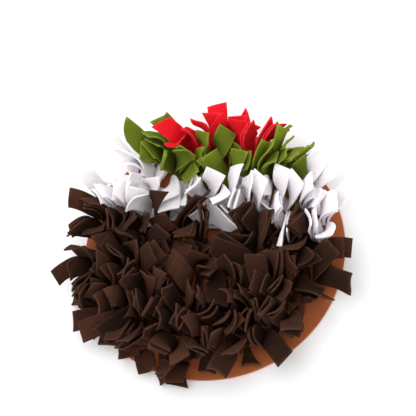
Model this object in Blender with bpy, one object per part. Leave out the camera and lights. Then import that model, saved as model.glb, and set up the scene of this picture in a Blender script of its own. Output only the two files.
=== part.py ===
"""Round snuffle mat, lying flat on its felt base with all of its fleece tails standing up.

The maker cuts one felt disc and many short fleece strips. Each strip is folded at its middle
and sewn down along a straight seam, so that two tails stand up from the seam, one on each
side. The seams run across the mat from front (-Y, dark) to back (+Y, berries). Along a seam
the strips change colour in runs, and each run of one colour is one comb-shaped piece.

Units are metres. The origin is on the underside, at the middle of the disc. +Z is up.
"""

import math
import random

import bmesh
import bpy
from mathutils import Quaternion, Vector
from mathutils.bvhtree import BVHTree

MM = 0.001

# Base panel: one felt disc.
BASE_RADIUS = 130 * MM
BASE_THICKNESS = 3 * MM
BASE_WAVER = 0.8 * MM
BASE_SIDES = 96
BASE_LOBES = (
    # lobes round the rim, share of the waver, start in radians
    (2, 1.0, 0.6),
    (3, 0.6, 2.1),
    (5, 0.4, 0.0),
)

# Fleece strips, folded at the middle.
STRIP_WIDTH = 20 * MM
STRIP_THICKNESS = 1.6 * MM
TAIL_LENGTH = 52 * MM
TAIL_SECTIONS = (0.0, 0.3, 0.62, 1.0)
STRIP_PITCH = 19.5 * MM
STRIP_SPACE = 2.5 * MM
GATHER = 0.66
GATHER_END = 0.34

# Seams, and the flat fold of cloth under the stitches.
SEAM_PITCH = 20 * MM
SEAM_WIDTH = 5 * MM
SEAM_HEIGHT = 2 * MM
AIR_GAP = 0.3 * MM
TAIL_OFFSET = 1.4 * MM
TAIL_ROOT_SHARE = 0.3
TAIL_ROOT_Z = BASE_THICKNESS + AIR_GAP + TAIL_ROOT_SHARE * SEAM_HEIGHT
TAIL_FLOOR = BASE_THICKNESS + SEAM_HEIGHT + 3 * AIR_GAP

# How the pile lies: tails near the rim flop outwards, tails in the middle stand.
PILE_SEED = 15
TAIL_CHORD = (0.84, 0.97)
RISE_SLANT = 0.22
HIGHEST_CREST = 1.2
CREST_SHARE = 0.8
CREST_STEPS = 18
RIM_LEAN_LEFT = 0.8
RIM_LEAN_RIGHT = 0.6
RIM_LEAN_BACK = 0.55
RIM_LEAN_FRONT = 0.5
SPLAY = 0.10
SCATTER = 0.16
ROLL_SPREAD = 24
STRAY = (0.7, 2.3)
LARGEST_LEAN = 0.97
LOWEST_TIP = 9 * MM
DRIFT_SPAN = 90 * MM
DRIFT_WAVES = (
    # waves per span across, lengthways, share of the phase
    (0.9, 0.5, 1.0),
    (0.6, -1.1, 2.3),
)
DRIFT_PHASES = {"across": 1.0, "lengthways": 4.0, "roll": 7.0}
DRIFT_LEAN = 0.22
DRIFT_ROLL = 30
FULL_TURN_LEAN = 0.55
TURN_END = 0.9
BUILD_SPARE = (0.5 * MM, 0.5 * MM)
SMOOTH_SPARE = (0.3 * MM, 0.6 * MM)
SMOOTH_SECTIONS = tuple(step / 8 for step in range(9))
SHORTEST_EDGE = 1 * MM
TRIES = 120
KEY_GIVE = 5 * MM
KEY_ROLL_GIVE = 40
SHORTER = (1.0, 0.85, 0.7, 0.5, 0.35)

# Strips of each colour along each seam, counted from the back. Seam 1 is the left one.
SEAMS = (
    # seam, red, green, white, brown
    (1, 0, 0, 1, 4),
    (2, 0, 0, 3, 5),
    (3, 0, 1, 3, 6),
    (4, 0, 2, 2, 7),
    (5, 1, 1, 2, 7),
    (6, 1, 2, 2, 7),
    (7, 1, 2, 2, 7),
    (8, 1, 1, 2, 7),
    (9, 0, 2, 2, 7),
    (10, 0, 2, 2, 6),
    (11, 0, 0, 2, 6),
    (12, 0, 0, 2, 3),
)
MIDDLE_SEAM = (1 + len(SEAMS)) / 2
PILE_MIDDLE = (-4 * MM, 6 * MM)
COLOURS = ("red", "green", "white", "brown")

# Tails whose lie is plain to see. Seam, strip counted from the back, side of the seam,
# tip position in mm, and the roll about its own length in degrees: 0 falls flat on its face.
KEY_TAILS = (
    # seam, strip, side, tip x, tip y, tip z, roll
    # red, left to right
    (5, 0, -1, -50, 95, 48, 85),
    (6, 0, -1, -27, 113, 49, 80),
    (7, 0, -1, -13, 120, 46, -30),
    (7, 0, 1, 10, 126, 48, 40),
    (8, 0, -1, 30, 118, 48, -80),
    (8, 0, 1, 50, 127, 38, -90),
    # green, left to right
    (4, 0, -1, -79, 97, 44, 60),
    (4, 1, 1, -31, 76, 48, -85),
    (6, 1, -1, -20, 108, 47, 90),
    (7, 2, -1, -13, 84, 44, 5),
    (7, 2, 1, 20, 91, 46, 5),
    (8, 1, 1, 47, 102, 43, -90),
    (9, 0, 1, 60, 117, 47, -70),
    (9, 1, 1, 65, 95, 47, -25),
    (10, 0, 1, 90, 101, 42, -55),
    # white, left to right
    (3, 2, -1, -113, 62, 14, 40),
    (3, 1, -1, -91, 61, 48, -80),
    (4, 2, 1, -41, 24, 37, -5),
    (6, 3, 1, -2, 70, 47, -85),
    (7, 3, 1, 20, 75, 44, -60),
    (8, 3, 1, 32, 68, 42, -45),
    (9, 3, -1, 46, 68, 42, -15),
    (10, 2, -1, 65, 76, 49, 0),
    (10, 3, 1, 74, 1, 33, 90),
    # brown, down the left side and the front
    (1, 1, 1, -124, 20, 48, 50),
    (2, 2, -1, -112, 33, 48, 35),
    (3, 3, 1, -81, 32, 49, -60),
    (1, 2, -1, -131, -12, 42, -90),
    (1, 4, -1, -136, -58, 38, -60),
    (2, 5, -1, -136, -15, 18, 90),
    (2, 6, -1, -118, -66, 40, 65),
    (2, 7, -1, -107, -79, 48, -60),
    (4, 9, -1, -83, -107, 26, -70),
    (5, 10, -1, -60, -118, 38, 60),
    # brown, right side
    (12, 2, 1, 140, 6, 36, 30),
    (12, 3, 1, 145, -28, 34, 55),
    (11, 5, 1, 130, -45, 28, 90),
    (10, 9, 1, 96, -106, 34, 10),
    (10, 9, -1, 62, -94, 36, -40),
    # brown, middle
    (6, 5, 1, -5, 31, 47, -25),
    (9, 5, 1, 55, 34, 38, -55),
    (5, 7, 1, -22, -4, 36, -20),
    (7, 7, 1, 26, -63, 35, -30),
)

FINISH = {
    # piece: colour, roughness
    "base": ((0.262, 0.078, 0.026), 0.95),
    "red": ((0.74, 0.009, 0.020), 0.92),
    "green": ((0.125, 0.200, 0.016), 0.92),
    "white": ((0.80, 0.78, 0.80), 0.92),
    "brown": ((0.048, 0.019, 0.012), 0.95),
}


def clear_scene():
    """Start from an empty scene."""
    for thing in list(bpy.data.objects):
        bpy.data.objects.remove(thing, do_unlink=True)


def cloth_material(name):
    """A matt cloth finish with the piece's own colour."""
    colour, roughness = FINISH[name]
    material = bpy.data.materials.new(name + "_cloth")
    material.use_nodes = True
    shader = material.node_tree.nodes["Principled BSDF"]
    shader.inputs["Base Color"].default_value = (*colour, 1.0)
    shader.inputs["Roughness"].default_value = roughness
    shader.inputs["Metallic"].default_value = 0.0
    return material


def add_object(name, mesh, material):
    """Link a mesh into the scene as a named object."""
    piece = bpy.data.objects.new(name, mesh)
    mesh.materials.append(material)
    bpy.context.scene.collection.objects.link(piece)
    return piece


def base_radius(angle):
    """The hand-cut outline of the felt disc wavers a little about its circle."""
    waver = sum(share * math.sin(lobes * angle + start) for lobes, share, start in BASE_LOBES)
    return BASE_RADIUS - BASE_WAVER + 0.5 * BASE_WAVER * waver


def make_base(material):
    """The felt disc, flat on the surface it lies on."""
    work = bmesh.new()
    rim = []
    for step in range(BASE_SIDES):
        angle = 2 * math.pi * step / BASE_SIDES
        radius = base_radius(angle)
        rim.append(work.verts.new((radius * math.cos(angle), radius * math.sin(angle), 0)))
    underside = work.faces.new(rim)
    raised = bmesh.ops.extrude_face_region(work, geom=[underside])
    tops = [part for part in raised["geom"] if isinstance(part, bmesh.types.BMVert)]
    bmesh.ops.translate(work, verts=tops, vec=(0, 0, BASE_THICKNESS))
    bmesh.ops.recalc_face_normals(work, faces=work.faces)
    mesh = bpy.data.meshes.new("base_panel")
    work.to_mesh(mesh)
    work.free()
    return add_object("base_panel", mesh, material)


def seam_x(seam):
    """Where a seam lies across the mat."""
    return PILE_MIDDLE[0] + (seam - MIDDLE_SEAM) * SEAM_PITCH


def strip_y(count, index):
    """Where a strip sits along its seam. Strip 0 is at the back."""
    return PILE_MIDDLE[1] + ((count - 1) / 2 - index) * STRIP_PITCH


def tail_root(seam, count, index, side):
    """The middle of a tail's sewn end, inside the seam."""
    return Vector((seam_x(seam) + side * TAIL_OFFSET, strip_y(count, index), TAIL_ROOT_Z))


def tail_curve(root, tip, side):
    """Three control points: the tail rises from its seam and then falls over to its tip."""
    chord = (tip - root).length
    rise = Vector((side * RISE_SLANT, 0.0, 1.0)).normalized()
    low = 0.0
    high = HIGHEST_CREST * TAIL_LENGTH
    for _ in range(CREST_STEPS):
        middle = (low + high) / 2
        crest = root + rise * middle
        span = (crest - root).length + (tip - crest).length
        arc = (2 * chord + span) / 3
        if arc < TAIL_LENGTH:
            low = middle
        else:
            high = middle
    return root, root + rise * min(low, CREST_SHARE * chord), tip


def along(curve, part):
    """A point on the curve, with part from 0 at the seam to 1 at the tip."""
    root, crest, tip = curve
    return root * (1 - part) ** 2 + crest * (2 * part * (1 - part)) + tip * part ** 2


def heading(curve, part):
    """The direction of the curve at a point."""
    root, crest, tip = curve
    return ((crest - root) * (1 - part) + (tip - crest) * part).normalized()


def half_turn(angle):
    """The same lie of a flat strip, reached by turning it a quarter turn at the most."""
    return (angle + math.pi / 2) % math.pi - math.pi / 2


def turn_to_fall(curve):
    """How far a tail turns about itself, from its seam, to bend over its flat face."""
    reach = curve[2] - curve[0]
    turn = half_turn(math.atan2(reach.y, reach.x))
    lean = min(1.0, reach.xy.length / reach.length / FULL_TURN_LEAN)
    return turn * lean


def tail_frames(curve, roll, sections):
    """Share of length, centre, width direction and face normal at each section of a tail."""
    twist = half_turn(turn_to_fall(curve) + math.radians(roll))
    frames = []
    direction = heading(curve, 0)
    across = (Vector((0, 1, 0)) - direction * direction.y).normalized()
    for part in sections:
        turned = heading(curve, part)
        across = direction.rotation_difference(turned) @ across
        direction = turned
        ease = min(1.0, part / TURN_END)
        ease = ease * ease * (3 - 2 * ease)
        width_way = Quaternion(direction, twist * ease) @ across
        frames.append((part, along(curve, part), width_way, direction.cross(width_way)))
    return frames


def gathered_width(part):
    """A strip is gathered where it is sewn, and has its full width a third of the way up."""
    spread = min(1.0, part / GATHER_END)
    return STRIP_WIDTH * (GATHER + (1 - GATHER) * math.sin(spread * math.pi / 2))


def ribbon(frames, spare=(0.0, 0.0)):
    """Corners and faces of a closed ribbon. Spare is added all round, from seam to tip.

    The two wide faces are split along the same diagonal, so that a twisted ribbon keeps its
    thickness.
    """
    corners = []
    for part, centre, width_way, face_way in frames:
        extra = spare[0] + (spare[1] - spare[0]) * min(1.0, 2 * part)
        sideways = width_way * ((gathered_width(part) + extra) / 2)
        outwards = face_way * ((STRIP_THICKNESS + extra) / 2)
        for across, through in ((-1, -1), (1, -1), (1, 1), (-1, 1)):
            corners.append(centre + sideways * across + outwards * through)
    faces = [(3, 2, 1, 0)]
    for step in range(len(frames) - 1):
        low = 4 * step
        high = low + 4
        faces += [(low, low + 1, high + 1), (low, high + 1, high)]
        faces += [(low + 2, low + 3, high + 2), (low + 3, high + 3, high + 2)]
        faces += [(low + 1, low + 2, high + 1), (low + 2, high + 2, high + 1)]
        faces += [(low + 3, low, high + 3), (low, high, high + 3)]
    last = 4 * (len(frames) - 1)
    faces.append((last, last + 1, last + 2, last + 3))
    return corners, faces


def touch_tree(curve, roll):
    """The space that a tail needs, as it is built and as a smooth curve, clearance included."""
    corners = []
    faces = []
    for sections, spare in ((TAIL_SECTIONS, BUILD_SPARE), (SMOOTH_SECTIONS, SMOOTH_SPARE)):
        start = len(corners)
        more_corners, more_faces = ribbon(tail_frames(curve, roll, sections), spare)
        corners.extend(more_corners)
        faces.extend(tuple(start + corner for corner in face) for face in more_faces)
    return BVHTree.FromPolygons(corners, faces)


def lies_well(curve, roll):
    """Whether a tail keeps off the base and doesn't fold back on itself at its edges."""
    frames = tail_frames(curve, roll, TAIL_SECTIONS)
    corners, faces = ribbon(frames)
    if min(corner.z for corner in corners[4:]) < TAIL_FLOOR:
        return False
    for step in range(len(frames) - 1):
        for _, _, width_way, face_way in frames[step:step + 2]:
            onwards = width_way.cross(face_way)
            for corner in range(4 * step, 4 * step + 4):
                if (corners[corner + 4] - corners[corner]).dot(onwards) < SHORTEST_EDGE:
                    return False
    tree = BVHTree.FromPolygons(corners, faces)
    return all(set(faces[one]) & set(faces[other]) for one, other in tree.overlap(tree))


def drift(place, name):
    """A slow waver across the mat, between -1 and 1, so that neighbouring tails lie alike."""
    x = place.x / DRIFT_SPAN
    y = place.y / DRIFT_SPAN
    phase = DRIFT_PHASES[name]
    waves = [
        math.sin(2 * math.pi * (across * x + lengthways * y) + share * phase)
        for across, lengthways, share in DRIFT_WAVES
    ]
    return sum(waves) / len(waves)


def lean_of(root, side, dice, scatter):
    """The sideways reach of a tail's tip, as a share of its chord."""
    out = root.xy / BASE_RADIUS
    sideways = RIM_LEAN_RIGHT if out.x > 0 else RIM_LEAN_LEFT
    lengthways = RIM_LEAN_BACK if out.y > 0 else RIM_LEAN_FRONT
    lean = Vector((out.x * sideways, out.y * lengthways)) * out.length
    lean += Vector((side * SPLAY, 0))
    lean += Vector((drift(root, "across"), drift(root, "lengthways"))) * DRIFT_LEAN
    lean += Vector((dice.gauss(0, scatter), dice.gauss(0, scatter)))
    if lean.length > LARGEST_LEAN:
        lean *= LARGEST_LEAN / lean.length
    return lean


def draw_tail(root, side, dice, progress, shorter):
    """One way in which a tail could lie. Each draw strays further from the fan of the pile."""
    stray = STRAY[0] + (STRAY[1] - STRAY[0]) * progress
    lean = lean_of(root, side, dice, SCATTER * stray)
    chord = TAIL_LENGTH * dice.uniform(*TAIL_CHORD) * shorter
    height = math.sqrt(1 - lean.length_squared)
    tip = root + Vector((lean.x, lean.y, height)) * chord
    tip.z = max(tip.z, LOWEST_TIP)
    roll = DRIFT_ROLL * drift(root, "roll") + dice.gauss(0, ROLL_SPREAD * stray)
    return tail_curve(root, tip, side), roll


def key_tail(root, side, target, dice, give):
    """A key tail as the table gives it, or a little off its mark where others are in its way."""
    *place, roll = target
    tip = Vector(place) * MM
    if give:
        tip += Vector((dice.gauss(0, 1), dice.gauss(0, 1), dice.gauss(0, 1))) * (KEY_GIVE * give)
        roll += dice.gauss(0, KEY_ROLL_GIVE * give)
    reach = tip - root
    longest = TAIL_CHORD[1] * TAIL_LENGTH
    if reach.length > longest:
        reach *= longest / reach.length
    return tail_curve(root, root + reach, side), roll


def find_room(root, laid, tries, draw):
    """The first drawn lie of a tail that is clear of the seams and of every laid tail."""
    near = [tree for place, tree in laid if (place - root).length < 2 * TAIL_LENGTH]
    for attempt in range(tries):
        curve, roll = draw(attempt)
        if not lies_well(curve, roll):
            continue
        tree = touch_tree(curve, roll)
        if not any(tree.overlap(other) for other in near):
            return curve, roll, tree
    return None


def place_tails():
    """Lay every tail of the mat so that it stays clear of the others.

    The key tails come first. The rest are drawn from the outside inwards, and each takes the
    first of its drawn leans that is clear. Where none is, the tail is cut shorter. Each tail
    has its own seeded dice, so that a change to one leaves the others much as they were.
    """
    roots = {}
    for seam, *runs in SEAMS:
        for index in range(sum(runs)):
            for side in (-1, 1):
                roots[(seam, index, side)] = tail_root(seam, sum(runs), index, side)
    found = {}
    trees = []

    def keep(slot, lie):
        found[slot] = lie[:2]
        trees.append((roots[slot], lie[2]))

    for seam, index, side, *target in KEY_TAILS:
        slot = (seam, index, side)
        dice = random.Random(f"{PILE_SEED} {slot}")
        lie = find_room(
            roots[slot], trees, TRIES,
            lambda attempt: key_tail(roots[slot], side, target, dice, attempt / TRIES),
        )
        if lie:
            keep(slot, lie)
    for slot in sorted(roots, key=lambda slot: -roots[slot].xy.length):
        if slot in found:
            continue
        dice = random.Random(f"{PILE_SEED} {slot}")
        for shorter in SHORTER:
            lie = find_room(
                roots[slot], trees, TRIES,
                lambda attempt: draw_tail(roots[slot], slot[2], dice, attempt / TRIES, shorter),
            )
            if lie:
                keep(slot, lie)
                break
    return found


def seam_box(seam, count, first, last):
    """Corners and faces of the flat fold of cloth under the stitches of one run."""
    reach = (STRIP_PITCH - STRIP_SPACE) / 2
    front = strip_y(count, last) - reach
    back = strip_y(count, first) + reach
    middle = seam_x(seam)
    low = BASE_THICKNESS + AIR_GAP
    corners = []
    for z in (low, low + SEAM_HEIGHT):
        corners.append(Vector((middle - SEAM_WIDTH / 2, front, z)))
        corners.append(Vector((middle + SEAM_WIDTH / 2, front, z)))
        corners.append(Vector((middle + SEAM_WIDTH / 2, back, z)))
        corners.append(Vector((middle - SEAM_WIDTH / 2, back, z)))
    faces = [(3, 2, 1, 0), (4, 5, 6, 7)]
    for edge in range(4):
        following = (edge + 1) % 4
        faces.append((edge, following, following + 4, edge + 4))
    return corners, faces


def solid_object(name, corners, faces):
    """A plain closed mesh as an object."""
    mesh = bpy.data.meshes.new(name)
    mesh.from_pydata([tuple(corner) for corner in corners], [], faces)
    mesh.update()
    piece = bpy.data.objects.new(name, mesh)
    bpy.context.scene.collection.objects.link(piece)
    return piece


def make_comb(name, seam, count, first, last, laid, material):
    """One run of strips of one colour: the sewn fold and all of its tails, joined."""
    comb = solid_object(name, *seam_box(seam, count, first, last))
    tails = bpy.data.collections.new(name + "_tails")
    bpy.context.scene.collection.children.link(tails)
    for index in range(first, last + 1):
        for side in (-1, 1):
            if (seam, index, side) in laid:
                curve, roll = laid[(seam, index, side)]
                frames = tail_frames(curve, roll, TAIL_SECTIONS)
                tail = solid_object("tail", *ribbon(frames))
                bpy.context.scene.collection.objects.unlink(tail)
                tails.objects.link(tail)
    union = comb.modifiers.new("Sewn", "BOOLEAN")
    union.operation = "UNION"
    union.operand_type = "COLLECTION"
    union.collection = tails
    union.solver = "EXACT"
    bpy.context.view_layer.update()
    joined = bpy.data.meshes.new_from_object(comb.evaluated_get(bpy.context.evaluated_depsgraph_get()))
    comb.modifiers.clear()
    comb.data = joined
    comb.data.materials.clear()
    comb.data.materials.append(material)
    for tail in list(tails.objects):
        bpy.data.objects.remove(tail, do_unlink=True)
    bpy.data.collections.remove(tails)
    return comb


def make_pile():
    """Every comb of the mat, seam by seam and colour by colour."""
    materials = {colour: cloth_material(colour) for colour in COLOURS}
    laid = place_tails()
    for seam, *runs in SEAMS:
        first = 0
        for colour, run in zip(COLOURS, runs):
            if run:
                name = f"{colour}_comb_{seam:02d}"
                make_comb(name, seam, sum(runs), first, first + run - 1, laid, materials[colour])
            first += run


clear_scene()
make_base(cloth_material("base"))
make_pile()
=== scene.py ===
"""Round snuffle mat on a pale studio floor.

A felt base panel carries twelve sewn seams of folded fleece strips. Each strip stands up as two
soft tails. The tails lie as the fixed frame's solids do, with the cloth's own curl and cut
ends, and with more tails between them.
"""

import math
import random
from collections import namedtuple

import bpy
from mathutils import Matrix, Quaternion, Vector
from mathutils.bvhtree import BVHTree


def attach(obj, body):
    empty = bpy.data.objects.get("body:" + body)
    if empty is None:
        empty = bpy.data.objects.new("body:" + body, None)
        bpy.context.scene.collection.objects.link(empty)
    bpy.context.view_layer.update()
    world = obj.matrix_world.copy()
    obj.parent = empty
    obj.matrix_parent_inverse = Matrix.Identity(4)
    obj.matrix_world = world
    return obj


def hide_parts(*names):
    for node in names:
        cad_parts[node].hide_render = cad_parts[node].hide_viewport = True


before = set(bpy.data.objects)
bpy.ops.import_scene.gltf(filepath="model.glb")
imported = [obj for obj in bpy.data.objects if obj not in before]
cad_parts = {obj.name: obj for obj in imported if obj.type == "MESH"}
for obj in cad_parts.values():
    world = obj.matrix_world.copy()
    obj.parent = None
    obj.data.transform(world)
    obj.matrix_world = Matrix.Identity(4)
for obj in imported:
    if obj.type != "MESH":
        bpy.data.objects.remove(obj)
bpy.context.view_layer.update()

bl_info = {
    "name": "Snuffle Mat",
    "version": (1, 0, 0),
    "blender": (4, 5, 0),
    "location": "View3D > Sidebar > Snuffle Mat",
    "description": "Builds a round foraging mat of felt and fleece tails, and its studio",
    "category": "Object",
}

MM = 0.001

# The base panel, as in the solid.
BASE_RADIUS = 130 * MM
BASE_THICKNESS = 3 * MM
BASE_WAVER = 0.8 * MM
BASE_LOBES = (
    # lobes round the rim, share of the waver, start in radians
    (2, 1.0, 0.6),
    (3, 0.6, 2.1),
    (5, 0.4, 0.0),
)

# Fleece strips, folded at the middle, as in the solid.
STRIP_WIDTH = 20 * MM
STRIP_THICKNESS = 1.6 * MM
TAIL_LENGTH = 52 * MM
TAIL_SECTIONS = (0.0, 0.3, 0.62, 1.0)
STRIP_PITCH = 19.5 * MM
GATHER = 0.66
GATHER_END = 0.34

# Seams, as in the solid.
SEAM_PITCH = 20 * MM
SEAM_HEIGHT = 2 * MM
AIR_GAP = 0.3 * MM
TAIL_OFFSET = 1.4 * MM
TAIL_ROOT_SHARE = 0.3
TAIL_ROOT_Z = BASE_THICKNESS + AIR_GAP + TAIL_ROOT_SHARE * SEAM_HEIGHT
TAIL_FLOOR = BASE_THICKNESS + SEAM_HEIGHT + 3 * AIR_GAP

# How the pile lies, as in the solid. Rolls are in degrees.
PILE_SEED = 15
TAIL_CHORD = (0.84, 0.97)
RISE_SLANT = 0.22
HIGHEST_CREST = 1.2
CREST_SHARE = 0.8
CREST_STEPS = 18
RIM_LEAN_LEFT = 0.8
RIM_LEAN_RIGHT = 0.6
RIM_LEAN_BACK = 0.55
RIM_LEAN_FRONT = 0.5
SPLAY = 0.10
SCATTER = 0.16
ROLL_SPREAD = 24
STRAY = (0.7, 2.3)
LARGEST_LEAN = 0.97
LOWEST_TIP = 9 * MM
DRIFT_SPAN = 90 * MM
DRIFT_WAVES = (
    # waves per span across, lengthways, share of the phase
    (0.9, 0.5, 1.0),
    (0.6, -1.1, 2.3),
)
DRIFT_PHASES = {"across": 1.0, "lengthways": 4.0, "roll": 7.0}
DRIFT_LEAN = 0.22
DRIFT_ROLL = 30
FULL_TURN_LEAN = 0.55
TURN_END = 0.9
BUILD_SPARE = (0.5 * MM, 0.5 * MM)
SMOOTH_SPARE = (0.3 * MM, 0.6 * MM)
SMOOTH_SECTIONS = tuple(step / 8 for step in range(9))
SHORTEST_EDGE = 1 * MM
TRIES = 120
NEIGHBOUR = 2 * TAIL_LENGTH
KEY_GIVE = 5 * MM
KEY_ROLL_GIVE = 40
SHORTER = (1.0, 0.85, 0.7, 0.5, 0.35)

# Room to spare round every tail while the added ones are laid: where it is sewn, and from its
# middle on.
SPARE = (0.1 * MM, 0.2 * MM)

# Twin tails: more strips of the same seams, each lying along the front or back of a tail.
TWIN_GAP = (2.2 * MM, 8 * MM)
TWIN_SLIDE = 2 * MM
TWIN_STRAY = 8 * MM
TWIN_ROLL = 22
TWIN_LENGTH = (0.72, 1.0)
TWIN_TRIES = 150
TWIN_RIM = 134 * MM
TWIN_SECTIONS = tuple(part for part in SMOOTH_SECTIONS if part > 0)
TWIN_FLOOR = BASE_THICKNESS + 0.8 * MM

# Low tails: flattened under the others, they cover the felt between the seams. The crest is
# given in shares of the reach and of the rise.
LOW_PER_PITCH = 3
LOW_GATHER = 0.8
LOW_START = 3.4 * MM
LOW_ROOT_LIFT = 0.6 * MM
LOW_REACH = (7 * MM, 30 * MM)
LOW_SLANT = 0.45
LOW_CREST = (0.35, 1.1)
LOW_ROLL = 14
LOW_TIP_Z = (6 * MM, 20 * MM)
LOW_TRIES = 160
LOW_NEIGHBOUR = 1.5 * TAIL_LENGTH
LOW_RIM = 116 * MM

# Front tails: flattened tails that fan out from the front end of each seam. The fan's spread is
# in radians.
FRONT_PLACES = (-7 * MM, 0.0, 7 * MM)
FRONT_START = (8 * MM, 20 * MM)
FRONT_REACH = (13 * MM, 32 * MM)
FRONT_FAN = 0.45
FRONT_TIP_Z = (6 * MM, 22 * MM)
FRONT_RIM_LEFT = 137 * MM
FRONT_RIM_RIGHT = 121 * MM
FRONT_TRIES = 200

# How a tail's cloth strays from its flat lie. The cup is a middle and a spread, and the other
# pairs are least and most.
CUP = (0.10, 0.28)
CUP_MIDDLE = 0.35
CUP_GROWTH = 0.6
CORNER_SPREAD = 0.42
NOD_SPREAD = 0.10
RIPPLE_SHARE = (0.2, 1.1)
RIPPLE_SLANT = 0.8
WAVES = (1.2, 2.6)
SKEW_SPREAD = 0.26
WIDTH_SHARE = (0.92, 1.04)
FREE_FROM = 0.25

# The amounts of curl tried for each tail, and the rows, columns and clearance of its trial.
CURL_AMOUNTS = (1.0, 0.6, 0.3, 0.0)
CURL_GRID = (7, 4)
CURL_CLEARANCE = 0.9 * MM

# Where the cloth starts along a tail, and the lowest that its middle surface lies.
CLOTH_START = 0.04
CLOTH_FLOOR = BASE_THICKNESS + 1.1 * MM

# Edges of the fleece sharper than this are rounded, and of the felt drawn crisp. In degrees.
FLEECE_EDGE = 55
FELT_EDGE = 40

# The felt disc's mesh, and the waves of its lifted rim: lobes, start in radians.
RIM_POINTS = 144
FELT_RINGS = 8
LIFT_WAVES = ((3, 1.2), (2, 0.4))
LIFT_POWER = 6

# Texture of the cloths, in features per metre.
GRAIN_SCALE = 1100
FLUFF_SCALE = 330
CLOUD_SCALE = 45
FIBRE_SCALE = 700
PATCH_SCALE = 30

# The sheen of each fleece.
SHEEN = {"red": 0.10, "green": 0.12, "white": 0.10, "brown": 0.10}

# The distance between the shader nodes in their editor.
NODE_SPACING = 200

# Strips of each colour along each seam, counted from the back. Seam 1 is the left one.
SEAMS = (
    # seam, red, green, white, brown
    (1, 0, 0, 1, 4),
    (2, 0, 0, 3, 5),
    (3, 0, 1, 3, 6),
    (4, 0, 2, 2, 7),
    (5, 1, 1, 2, 7),
    (6, 1, 2, 2, 7),
    (7, 1, 2, 2, 7),
    (8, 1, 1, 2, 7),
    (9, 0, 2, 2, 7),
    (10, 0, 2, 2, 6),
    (11, 0, 0, 2, 6),
    (12, 0, 0, 2, 3),
)
MIDDLE_SEAM = (1 + len(SEAMS)) / 2
PILE_MIDDLE = (-4 * MM, 6 * MM)
COLOURS = ("red", "green", "white", "brown")

# Tails whose lie is plain to see. Seam, strip counted from the back, side of the seam,
# tip position in mm, and the roll about its own length in degrees: 0 falls flat on its face.
KEY_TAILS = (
    # seam, strip, side, tip x, tip y, tip z, roll
    # red, left to right
    (5, 0, -1, -50, 95, 48, 85),
    (6, 0, -1, -27, 113, 49, 80),
    (7, 0, -1, -13, 120, 46, -30),
    (7, 0, 1, 10, 126, 48, 40),
    (8, 0, -1, 30, 118, 48, -80),
    (8, 0, 1, 50, 127, 38, -90),
    # green, left to right
    (4, 0, -1, -79, 97, 44, 60),
    (4, 1, 1, -31, 76, 48, -85),
    (6, 1, -1, -20, 108, 47, 90),
    (7, 2, -1, -13, 84, 44, 5),
    (7, 2, 1, 20, 91, 46, 5),
    (8, 1, 1, 47, 102, 43, -90),
    (9, 0, 1, 60, 117, 47, -70),
    (9, 1, 1, 65, 95, 47, -25),
    (10, 0, 1, 90, 101, 42, -55),
    # white, left to right
    (3, 2, -1, -113, 62, 14, 40),
    (3, 1, -1, -91, 61, 48, -80),
    (4, 2, 1, -41, 24, 37, -5),
    (6, 3, 1, -2, 70, 47, -85),
    (7, 3, 1, 20, 75, 44, -60),
    (8, 3, 1, 32, 68, 42, -45),
    (9, 3, -1, 46, 68, 42, -15),
    (10, 2, -1, 65, 76, 49, 0),
    (10, 3, 1, 74, 1, 33, 90),
    # down the left side and the front, brown but for the second and third
    (1, 1, 1, -124, 20, 48, 50),
    (2, 2, -1, -112, 33, 48, 35),
    (3, 3, 1, -81, 32, 49, -60),
    (1, 2, -1, -131, -12, 42, -90),
    (1, 4, -1, -136, -58, 38, -60),
    (2, 5, -1, -136, -15, 18, 90),
    (2, 6, -1, -118, -66, 40, 65),
    (2, 7, -1, -107, -79, 48, -60),
    (4, 9, -1, -83, -107, 26, -70),
    (5, 10, -1, -60, -118, 38, 60),
    # brown, right side
    (12, 2, 1, 140, 6, 36, 30),
    (12, 3, 1, 145, -28, 34, 55),
    (11, 5, 1, 130, -45, 28, 90),
    (10, 9, 1, 96, -106, 34, 10),
    (10, 9, -1, 62, -94, 36, -40),
    # brown, middle
    (6, 5, 1, -5, 31, 47, -25),
    (9, 5, 1, 55, 34, 38, -55),
    (5, 7, 1, -22, -4, 36, -20),
    (7, 7, 1, 26, -63, 35, -30),
)

# The camera looks at this point of the floor. Lens and sensor are in mm.
CAMERA_AIM = (-0.01346, 0.04635, 0.0)
CAMERA_LENS = 104.8
SENSOR_WIDTH = 36

# The studio.
FLOOR_SIZE = 12
FLOOR_COLOUR = (0.95, 0.95, 0.95, 1)
LIGHT_PLACE = (-0.35, 0.1, 1.3)
LIGHT_SIZE = 1.6


def base_radius(angle):
    """The hand-cut outline of the felt disc wavers a little about its circle."""
    waver = sum(share * math.sin(lobes * angle + start) for lobes, share, start in BASE_LOBES)
    return BASE_RADIUS - BASE_WAVER + 0.5 * BASE_WAVER * waver


def seam_x(seam):
    """Where a seam lies across the mat."""
    return PILE_MIDDLE[0] + (seam - MIDDLE_SEAM) * SEAM_PITCH


def strip_y(count, index):
    """Where a strip sits along its seam. Strip 0 is at the back."""
    return PILE_MIDDLE[1] + ((count - 1) / 2 - index) * STRIP_PITCH


def tail_root(seam, count, index, side):
    """The middle of a tail's sewn end, inside the seam."""
    return Vector((seam_x(seam) + side * TAIL_OFFSET, strip_y(count, index), TAIL_ROOT_Z))


def tail_curve(root, tip, side):
    """Three control points: the tail rises from its seam and then falls over to its tip."""
    chord = (tip - root).length
    rise = Vector((side * RISE_SLANT, 0.0, 1.0)).normalized()
    low = 0.0
    high = HIGHEST_CREST * TAIL_LENGTH
    for _ in range(CREST_STEPS):
        middle = (low + high) / 2
        crest = root + rise * middle
        span = (crest - root).length + (tip - crest).length
        arc = (2 * chord + span) / 3
        if arc < TAIL_LENGTH:
            low = middle
        else:
            high = middle
    return root, root + rise * min(low, CREST_SHARE * chord), tip


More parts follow.
